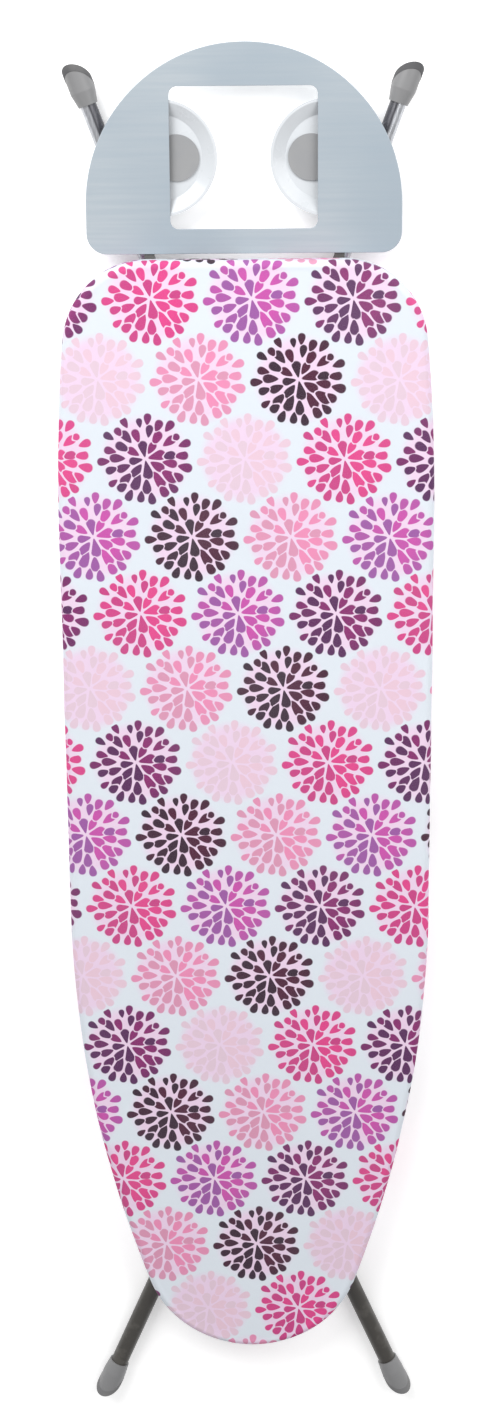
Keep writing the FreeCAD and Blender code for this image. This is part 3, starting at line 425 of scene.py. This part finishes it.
def moulded(name, colour, roughness=0.45, grain=0.00005, scuff=0.12, coat=0.0):
    """Moulded plastic: spark-eroded grain, slight mottling and scuffs."""
    graph = Graph(name)
    mottled = graph.fade(graph.noise(24, 4), 0.35, 0.7, 0.0, 0.10)
    pale = tuple(min(1.0, value * 1.35 + 0.03) for value in colour[:3]) + (1.0,)
    shade = graph.mix(mottled, colour, pale)
    scuffs = graph.fade(graph.noise(130, 5, rough=0.7), 0.60, 0.72, 0.0, scuff)
    shade = graph.mix(scuffs, shade, pale)
    grained = graph.bump(graph.noise(1100, 3), grain, 0.6)
    rough = graph.fade(graph.noise(60, 3), 0.3, 0.7, roughness - 0.07, roughness + 0.09)
    return graph.finish(Base_Color=shade, Roughness=rough, Normal=grained, Coat_Weight=coat,
                        Coat_Roughness=0.12)


def rest_paint():
    """Pale satin paint over rolled sheet: long faint streaks and a slow drift in tone."""
    graph = Graph("rest_paint")
    x, y, _ = graph.split(graph.place())
    streaks = graph.noise(10, 4, graph.vector(x, graph.math("MULTIPLY", y, 22.0)))
    drift = graph.fade(graph.noise(5, 2), 0.35, 0.65)
    shade = graph.mix(drift, srgb(160, 172, 182), srgb(180, 188, 194))
    shade = graph.mix(graph.fade(streaks, 0.3, 0.7, 0.0, 0.4), shade, srgb(154, 168, 179))
    shade = graph.mix(edge_wear(graph, 0.3), shade, srgb(216, 222, 226))
    peel = graph.bump(graph.noise(650, 2), 0.00004, 0.5)
    rough = graph.fade(streaks, 0.3, 0.7, 0.34, 0.46)
    return graph.finish(Base_Color=shade, Roughness=rough, Normal=peel, Coat_Weight=0.15,
                        Coat_Roughness=0.25)


def rubber(name, colour):
    graph = Graph(name)
    dusty = graph.fade(graph.noise(30, 4), 0.4, 0.75, 0.0, 0.22)
    shade = graph.mix(dusty, colour, srgb(176, 174, 170))
    skin = graph.bump(graph.noise(800, 3), 0.00008, 0.7)
    rough = graph.fade(graph.noise(50, 2), 0.3, 0.7, 0.72, 0.90)
    return graph.finish(Base_Color=shade, Roughness=rough, Normal=skin, Specular_IOR_Level=0.3)


def drawn_marks(graph):
    """Fine lines left along a tube by drawing and polishing."""
    x, y, z = graph.split(graph.place())
    narrow = 60
    narrow_x, narrow_z = (graph.math("MULTIPLY", value, narrow) for value in (x, z))
    return graph.noise(12, 3, graph.vector(narrow_x, y, narrow_z))


def plated(name, colour, deep):
    """Bright zinc plating with faint drawing lines."""
    graph = Graph(name)
    marks = drawn_marks(graph)
    shade = graph.mix(graph.fade(marks, 0.3, 0.7, 0.0, 0.5), colour, deep)
    rough = graph.fade(graph.noise(70, 3), 0.3, 0.7, 0.16, 0.32)
    lines = graph.bump(marks, 0.00004, 0.4)
    return graph.finish(Base_Color=shade, Metallic=1.0, Roughness=rough, Normal=lines)


def tube_with_painted_reflection():
    """Leg tube with a painted reflection: its outward half coloured bright as painted reflected light, the
    half towards the other leg coloured dark as painted shade.
    """
    graph = Graph("tube_painted_reflection")
    x = graph.split(graph.place())[0]
    facing = graph.split(graph.node("ShaderNodeNewGeometry").outputs["Normal"])[0]
    outward = graph.math("MULTIPLY", facing, graph.math("SIGN", x))
    ragged = graph.math("MULTIPLY_ADD", graph.noise(30, 2), 0.10, -0.05)
    # painted reflection: the way the surface faces picks a bright outward half and a dark inward half, in
    # place of the tube's real reflection
    bright = graph.fade(graph.math("ADD", outward, ragged), -0.10, 0.16)
    marks = drawn_marks(graph)
    # painted dark reflection for the inward half and painted bright reflection for the outward half, both
    # streaked by the drawing lines
    painted_dark_reflection = graph.mix(graph.fade(marks, 0.3, 0.7), srgb(70, 70, 77), srgb(86, 86, 91))
    painted_bright_reflection = graph.mix(graph.fade(marks, 0.3, 0.7), srgb(176, 178, 184), srgb(208, 210, 214))
    shade = graph.mix(bright, painted_dark_reflection, painted_bright_reflection)
    # the half with the painted bright reflection is also made more metallic than the half with the painted
    # shade
    metal = graph.fade(bright, 0.0, 1.0, 0.35, 0.75)
    rough = graph.fade(graph.noise(70, 3), 0.3, 0.7, 0.24, 0.36)
    lines = graph.bump(marks, 0.00004, 0.4)
    return graph.finish(Base_Color=shade, Metallic=metal, Roughness=rough, Normal=lines)


def powder_coat(name, colour):
    """Dry powder paint: fine speckle, faint clouds, rubbed edges."""
    graph = Graph(name)
    speckle = graph.noise(1400, 2)
    shade = graph.mix(graph.fade(graph.noise(12, 3), 0.3, 0.7, 0.0, 0.12), colour, srgb(168, 172, 176))
    shade = graph.mix(edge_wear(graph, 0.35), shade, srgb(150, 150, 148))
    skin = graph.bump(speckle, 0.00010, 0.7)
    rough = graph.fade(graph.noise(60, 2), 0.3, 0.7, 0.47, 0.63)
    return graph.finish(Base_Color=shade, Roughness=rough, Normal=skin)


def make_materials():
    """One material for each of the record's slots."""
    return {
        "cover_cloth": printed_cotton(),
        "pad_foam": felted_foam(),
        "panel_steel": powder_coat("mesh_top_coat", srgb(214, 217, 219)),
        "frame_steel": paint("frame_paint", srgb(80, 79, 77), srgb(120, 118, 114)),
        "rest_steel": rest_paint(),
        # leg A's tubes carry a painted reflection: bright outward half, painted shade on the inward half
        "leg_chrome": tube_with_painted_reflection(),
        "leg_paint": paint("leg_paint_dark", srgb(64, 61, 57), srgb(98, 95, 90), 0.44),
        "cap_plastic": moulded("cap_moulding", srgb(136, 136, 137), 0.46),
        "sole_rubber": rubber("sole_moulding", srgb(94, 94, 96)),
        "dish_plastic": moulded("dish_moulding", srgb(214, 218, 222), 0.30, 0.00002, 0.05, 0.4),
        "dish_pad": rubber("dish_pad_foam", srgb(154, 155, 157)),
        "pin_steel": plated("zinc_plate", srgb(190, 191, 192), srgb(160, 162, 164)),
        "bush_plastic": moulded("nylon_bush", srgb(52, 53, 55), 0.5),
        "grip_plastic": moulded("lever_grip_moulding", srgb(70, 72, 76), 0.48, 0.00012),
    }


def node_slots(record):
    """The material slot that each CAD node names in the record."""
    return {part["node"]: part["material_slot"] for part in record["subparts"]}


def dress_nodes(materials, slots):
    """Gives each CAD node its slot's material; the dark legs' soles are paler than the others."""
    pale_sole = rubber("pale_sole_moulding", srgb(124, 124, 125))
    for name, node in frame["nodes"].items():
        chosen = pale_sole if name.startswith("leg_b_sole") else materials[slots[name]]
        node.data.materials.clear()
        node.data.materials.append(chosen)


# ---------------------------------------------------------------- outline of the board

class Outline:
    """Points round the board with their outward directions, the same count at any inset."""

    def __init__(self, cover_box):
        low, high = cover_box
        self.nose_y = low[1]
        self.half = high[0]
        self.length = high[1] - low[1]
        right = self.right_side()
        left = [(-x, y, -across, along) for x, y, across, along in reversed(right[1:-1])]
        self.samples = right + left

    def right_side(self):
        side_x = self.half - SIDE_RADIUS
        taper_x = self.half - TAPER_RADIUS
        nose = (SIDE_RADIUS ** 2 - side_x ** 2 - SIDE_STATION ** 2) / (2 * (SIDE_RADIUS - SIDE_STATION))
        corner_y = self.length - CORNER_RADIUS
        corner_x = taper_x + math.sqrt((TAPER_RADIUS - CORNER_RADIUS) ** 2 - (corner_y - TAPER_STATION) ** 2)
        low = math.atan2(nose - SIDE_STATION, -side_x)
        high = math.atan2(corner_y - TAPER_STATION, corner_x - taper_x)
        self.nose_radius = nose
        points = []
        points += self.curve(0, nose, nose, -math.pi / 2, low)
        points += self.curve(side_x, SIDE_STATION, SIDE_RADIUS, low, 0)
        points += self.straight((self.half, SIDE_STATION), (self.half, TAPER_STATION), (1, 0))
        points += self.curve(taper_x, TAPER_STATION, TAPER_RADIUS, 0, high)
        points += self.curve(corner_x, corner_y, CORNER_RADIUS, high, math.pi / 2)
        points += self.straight((corner_x, self.length), (0, self.length), (0, 1))
        points.append((0.0, self.length, 0.0, 1.0))
        return points

    def curve(self, x, y, radius, start, end):
        count = max(4, round(abs(end - start) * radius / SAMPLE_STEP))
        points = []
        for step in range(count):
            turn = start + (end - start) * step / count
            points.append((x + radius * math.cos(turn), y + radius * math.sin(turn),
                           math.cos(turn), math.sin(turn)))
        points[0] = (0.0 if abs(points[0][0]) < 1e-9 else points[0][0], *points[0][1:])
        return points

    def straight(self, start, end, outward):
        run = math.dist(start, end)
        count = max(2, round(run / SAMPLE_STEP))
        return [(start[0] + (end[0] - start[0]) * step / count,
                 start[1] + (end[1] - start[1]) * step / count,
                 *outward) for step in range(count)]

    def ring(self, inset):
        """The outline drawn inwards, as points across and along the board from its nose."""
        return [(x - inset * across, y - inset * along) for x, y, across, along in self.samples]

    def spine(self):
        """For each point, the point on the board's middle line that it is drawn to."""
        first = self.nose_radius
        last = self.length - CORNER_RADIUS
        return [(0.0, min(max(y, first), last)) for _, y, _, _ in self.samples]


def ripple(x, y, scale, seed):
    """A smooth random value from about -1 to 1."""
    return noise.noise(Vector((x * scale, y * scale, seed)))


# ---------------------------------------------------------------- meshes

def mesh_object(name, points, faces):
    mesh = bpy.data.meshes.new(name)
    mesh.from_pydata(points, [], faces)
    mesh.validate()
    made = bpy.data.objects.new(name, mesh)
    bpy.context.scene.collection.objects.link(made)
    return made


def smooth(piece):
    for face in piece.data.polygons:
        face.use_smooth = True


def weld(piece, distance=0.00002):
    """Joins the points that fall together and turns all faces outwards."""
    work = bmesh.new()
    work.from_mesh(piece.data)
    bmesh.ops.remove_doubles(work, verts=work.verts, dist=distance)
    bmesh.ops.dissolve_degenerate(work, edges=work.edges, dist=distance / 2)
    bmesh.ops.recalc_face_normals(work, faces=work.faces)
    work.to_mesh(piece.data)
    work.free()


def apply_modifiers(piece):
    """Leaves the piece with its final mesh and no modifiers."""
    depsgraph = bpy.context.evaluated_depsgraph_get()
    final = bpy.data.meshes.new_from_object(piece.evaluated_get(depsgraph), depsgraph=depsgraph)
    piece.modifiers.clear()
    piece.data = final


def ring_faces(rings, count, closed=False):
    faces = []
    last = rings if closed else rings - 1
    for ring in range(last):
        after = (ring + 1) % rings
        for step in range(count):
            following = (step + 1) % count
            faces.append((ring * count + step, ring * count + following,
                          after * count + following, after * count + step))
    return faces


def dressed(piece, body, material):
    piece.data.materials.clear()
    piece.data.materials.append(material)
    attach(piece, body)


# ---------------------------------------------------------------- cover

def gathers(x, y):
    """How the elastic gathers the hem at a place: fine gathers, and longer tucks."""
    gather = ripple(x, y, 42, 3.1) * 0.6 + ripple(x, y, 95, 8.2) * 0.4
    return gather, ripple(x, y, 17, 5.7)


def slack_shift(slack, gather, tuck):
    """How far slack cloth is drawn inwards, and how far up."""
    return slack * (0.0040 * gather + 0.0030 * tuck), slack * 0.0022 * gather


def cover_section(low, high):
    """The cover from hem to top, in rings: inset, level, run outward of the top, slack."""
    top_level = high - 0.0002
    under_level = low + 0.0008
    section = []
    side_run = top_level - under_level - TOP_ROUND - UNDER_ROUND
    top_arc = TOP_ROUND * math.pi / 2
    under_arc = UNDER_ROUND * math.pi / 2
    edge_run = top_arc + side_run + under_arc
    for share in (1.0, 0.85, 0.7, 0.55, 0.4, 0.27):
        inset = HEM_WIDTH * share
        level = under_level - HEM_DROP * share
        section.append((inset, level, edge_run + inset - UNDER_ROUND, share))
    for step in range(5):
        turn = math.pi / 2 * step / 4
        section.append((UNDER_ROUND * (1 - math.sin(turn)), under_level + UNDER_ROUND * (1 - math.cos(turn)),
                        edge_run - UNDER_ROUND * turn, 0.20 - 0.02 * step))
    for share in (0.25, 0.5, 0.75):
        section.append((0.0, under_level + UNDER_ROUND + side_run * share,
                        top_arc + side_run * (1 - share), 0.10 * (1 - share)))
    for step in range(9):
        turn = math.pi / 2 * step / 8
        section.append((TOP_ROUND * (1 - math.cos(turn)), top_level - TOP_ROUND * (1 - math.sin(turn)),
                        top_arc - TOP_ROUND * turn, 0.0))
    for inset in (0.012, 0.017, 0.024, 0.033, 0.045, FILL_INSET):
        section.append((inset, top_level, 0.0, 0.0))
    return section


def cover_points(outline, section):
    """Points of the cover, and for each its place on the flat cut."""
    points, cut = [], []
    for inset, level, run, slack in section:
        for (x, y, across, along) in outline.samples:
            gather, tuck = gathers(x, y)
            inward, upward = slack_shift(slack, gather, tuck)
            moved = inset + inward
            lifted = level + upward
            if run and not slack:
                moved += 0.0005 * tuck
            puffed = 0.0 if run else -0.0004 + 0.0005 * ripple(x - inset * across, y - inset * along, 9, 1.3)
            points.append((x - moved * across, outline.nose_y + y - moved * along, lifted + puffed))
            flat = (run - TOP_ROUND) if run else -inset
            cut.append((x + flat * across, y + flat * along, 0.0))
    return points, cut


def cover_middle(outline, level):
    """The rest of the top, drawn from the last ring to the board's middle line."""
    points, cut = [], []
    start, goal = outline.ring(FILL_INSET), outline.spine()
    for share in (0.2, 0.4, 0.6, 0.8, 1.0):
        for (x, y), (to_x, to_y) in zip(start, goal):
            across = x + (to_x - x) * share
            along = y + (to_y - y) * share
            puffed = -0.0004 + 0.0005 * ripple(across, along, 9, 1.3)
            points.append((across, outline.nose_y + along, level + puffed))
            cut.append((across, along, 0.0))
    return points, cut


def board_cover(outline, material):
    low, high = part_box("cover")[0][2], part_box("cover")[1][2]
    section = cover_section(low, high)
    edge, edge_cut = cover_points(outline, section)
    middle, middle_cut = cover_middle(outline, section[-1][1])
    count = len(outline.samples)
    cover = mesh_object("board_cover", edge + middle, ring_faces(len(section) + 5, count))
    flat = cover.data.attributes.new("cloth", "FLOAT_VECTOR", "POINT")
    flat.data.foreach_set("vector", [value for place in edge_cut + middle_cut for value in place])
    weld(cover)
    thick = cover.modifiers.new("cloth_thickness", "SOLIDIFY")
    thick.thickness = CLOTH_THICKNESS
    thick.offset = -1.0
    apply_modifiers(cover)
    smooth(cover)
    dressed(cover, "board", material)
    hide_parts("cover")
    return cover


def hem_casing(outline, material):
    """The folded casing of the hem, gathered by its elastic."""
    low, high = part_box("cover")[0][2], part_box("cover")[1][2]
    inset, level, _, slack = cover_section(low, high)[0]
    points = []
    sides = 8
    for side in range(sides):
        turn = math.tau * side / sides
        for (x, y, across, along) in outline.samples:
            inward, upward = slack_shift(slack, *gathers(x, y))
            swell = 1 + 0.30 * ripple(x, y, 150, 2.4)
            moved = inset + inward + CASING_HALF_WIDTH * swell * math.cos(turn)
            lifted = level + upward - 0.0005 + CASING_HALF_HEIGHT * swell * math.sin(turn)
            points.append((x - moved * across, outline.nose_y + y - moved * along, lifted))
    casing = mesh_object("cover_hem", points, ring_faces(sides, len(outline.samples), closed=True))
    weld(casing)
    smooth(casing)
    dressed(casing, "board", material)
    return casing


# ---------------------------------------------------------------- pad and mesh top

def pad_rings(inset, low, thickness):
    """The pad's rounded edge from underside to top: inset and level of each ring."""
    half = thickness / 2 - 0.0002
    rings = [(inset + PAD_FLAT * share, low + 0.0002) for share in (1.0, 0.5)]
    for step in range(7):
        turn = -math.pi / 2 + math.pi * step / 6
        rings.append((inset + half * (1 - math.cos(turn)), low + thickness / 2 + half * math.sin(turn)))
    rings += [(inset + PAD_FLAT * share, low + thickness - 0.0002) for share in (0.5, 1.0)]
    return rings


def pad_points(outline, rings):
    """Points of the edge with its felted unevenness."""
    points = []
    for depth, level in rings:
        for (x, y, across, along) in outline.samples:
            inward = depth + 0.00012 * ripple(x, y, 120, level * 900)
            points.append((x - inward * across, outline.nose_y + y - inward * along, level))
    return points


def pad_middle(outline, inset, levels):
    """Points that carry the pad's two flat sides to the board's middle line."""
    points = []
    start, goal = outline.ring(inset + PAD_FLAT), outline.spine()
    for level in levels:
        for share in (0.34, 0.67, 1.0):
            for (x, y), (to_x, to_y) in zip(start, goal):
                points.append((x + (to_x - x) * share, outline.nose_y + y + (to_y - y) * share, level))
    return points


def chain_faces(chain, count):
    """Faces between rings that start at the given point numbers."""
    faces = []
    for near, far in zip(chain, chain[1:]):
        for step in range(count):
            following = (step + 1) % count
            faces.append((near + step, near + following, far + following, far + step))
    return faces


def foam_pad(outline, material):
    """The felt under the cover, with soft edges."""
    low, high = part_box("pad")
    inset = outline.half - high[0] + 0.0016
    rings = pad_rings(inset, low[2], high[2] - low[2] - 0.0008)
    edge = pad_points(outline, rings)
    middle = pad_middle(outline, inset, (rings[0][1], rings[-1][1]))
    count, base = len(outline.samples), len(edge)
    under = [0, base, base + count, base + 2 * count]
    over = [(len(rings) - 1) * count, base + 3 * count, base + 4 * count, base + 5 * count]
    faces = ring_faces(len(rings), count) + chain_faces(under, count) + chain_faces(over, count)
    pad = mesh_object("foam_pad", edge + middle, faces)
    weld(pad)
    smooth(pad)
    dressed(pad, "board", material)
    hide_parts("pad")
    return pad


def hole_centres(outline, inset):
    """Centres of the mesh top's holes, in staggered rows kept clear of its edge."""
    edge = [Vector(point) for point in outline.ring(inset + HOLE_MARGIN)[::6]]
    row_step = HOLE_PITCH * math.sqrt(3) / 2
    rows = int(outline.length / row_step)
    centres = []
    for row in range(rows):
        along = row_step * (row + 0.5)
        crossings = sorted(crossing_places(edge, along))
        if len(crossings) < 2:
            continue
        shift = HOLE_PITCH / 2 if row % 2 else 0.0
        for column in range(-14, 15):
            across = column * HOLE_PITCH + shift
            if crossings[0] < across < crossings[-1]:
                centres.append((across, along))
    return centres


def crossing_places(edge, along):
    """Where a line across the board meets a closed outline."""
    found = []
    for here, there in zip(edge, edge[1:] + edge[:1]):
        if (here.y - along) * (there.y - along) < 0:
            share = (along - here.y) / (there.y - here.y)
            found.append(here.x + (there.x - here.x) * share)
    return found


def mesh_top(outline, material):
    """The steel top, perforated so that steam can pass."""
    low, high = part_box("top_panel")
    inset = outline.half - high[0]
    border = [Vector(point) for point in outline.ring(inset)[::3]]
    centres = hole_centres(outline, inset)
    places = list(border)
    edges = [(step, (step + 1) % len(border)) for step in range(len(border))]
    for across, along in centres:
        first = len(places)
        for side in range(HOLE_SIDES):
            turn = math.tau * (side + 0.5) / HOLE_SIDES
            places.append(Vector((across + HOLE_RADIUS * math.cos(turn),
                                  along + HOLE_RADIUS * math.sin(turn))))
            edges.append((first + side, first + (side + 1) % HOLE_SIDES))
    flat, _, faces, _, _, _ = delaunay_2d_cdt(places, edges, [list(range(len(border)))], 1, 1e-7)
    kept = [face for face in faces if not in_hole(flat, face)]
    points = [(place.x, outline.nose_y + place.y, high[2]) for place in flat]
    panel = mesh_object("mesh_top", points, kept)
    weld(panel, 1e-6)
    if panel.data.polygons[0].normal.z < 0:
        panel.data.flip_normals()
    thick = panel.modifiers.new("sheet_thickness", "SOLIDIFY")
    thick.thickness = high[2] - low[2]
    thick.offset = -1.0
    apply_modifiers(panel)
    dressed(panel, "board", material)
    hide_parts("top_panel")


def in_hole(flat, face):
    """Whether a triangle lies in one of the holes: all its corners are on one hole's rim."""
    middle = sum((flat[corner] for corner in face), Vector((0, 0))) / len(face)
    row_step = HOLE_PITCH * math.sqrt(3) / 2
    row = round(middle.y / row_step - 0.5)
    shift = HOLE_PITCH / 2 if row % 2 else 0.0
    column = round((middle.x - shift) / HOLE_PITCH)
    centre = Vector((column * HOLE_PITCH + shift, row_step * (row + 0.5)))
    if (middle - centre).length > HOLE_RADIUS * 0.9:
        return False
    spans = [(flat[corner] - centre).length for corner in face]
    return max(spans) < HOLE_RADIUS * 1.05


# ---------------------------------------------------------------- studio


def studio_floor():
    """A pale floor: a wide flat square at level zero."""
    far = FLOOR_REACH
    edge = [(-far, -far, 0), (far, -far, 0), (far, far, 0), (-far, far, 0)]
    floor = mesh_object("studio_floor", edge, [(0, 1, 2, 3)])
    graph = Graph("studio_floor_paint")
    patches = graph.fade(graph.noise(0.8, 2), 0.3, 0.7)
    pale, paler = srgb(253, 253, 253, 1.0), srgb(254, 254, 254, 1.0)
    graph.finish(Base_Color=graph.mix(patches, pale, paler), Roughness=0.9, Specular_IOR_Level=0.1,
                 Emission_Color=(1.0, 1.0, 1.0, 1.0), Emission_Strength=0.25)
    floor.data.materials.append(graph.material)
    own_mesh(floor)


def area_light(name, place, target, size, power):
    lamp = bpy.data.lights.new(name, "AREA")
    lamp.shape = "SQUARE"
    lamp.size = size
    lamp.energy = power
    made = bpy.data.objects.new(name, lamp)
    made.location = place
    made.rotation_euler = (Vector(target) - Vector(place)).to_track_quat("-Z", "Y").to_euler()
    bpy.context.scene.collection.objects.link(made)


def studio_lights():
    area_light("key_light", *KEY_LIGHT)
    area_light("fill_light", *FILL_LIGHT)
    world = bpy.data.worlds.new("studio_sky")
    world.use_nodes = True
    sky = world.node_tree.nodes["Background"]
    sky.inputs["Color"].default_value = (1.0, 1.0, 1.0, 1.0)
    sky.inputs["Strength"].default_value = SKY_LEVEL
    bpy.context.scene.world = world


def studio_camera(nose_y):
    lens = bpy.data.cameras.new("studio_camera")
    lens.lens = CAMERA_LENS
    lens.sensor_width = 36.0
    lens.clip_end = 60.0
    camera = bpy.data.objects.new("studio_camera", lens)
    camera.location = (0.0, nose_y + CAMERA_BEHIND_NOSE, CAMERA_HEIGHT)
    camera.rotation_euler = Euler(CAMERA_TURN)
    bpy.context.scene.collection.objects.link(camera)
    bpy.context.scene.camera = camera


def set_tone():
    view = bpy.context.scene.view_settings
    view.view_transform = "Standard"
    view.look = "None"
    view.exposure = 0.0
    view.gamma = 1.0


# ---------------------------------------------------------------- the scene

materials = make_materials()
dress_nodes(materials, node_slots(frame["record"]))
outline = Outline(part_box("cover"))
cover = board_cover(outline, materials["cover_cloth"])
casing = hem_casing(outline, plain_tape())
pad = foam_pad(outline, materials["pad_foam"])
mesh_top(outline, materials["panel_steel"])
studio_floor()
studio_lights()
studio_camera(outline.nose_y)
set_tone()
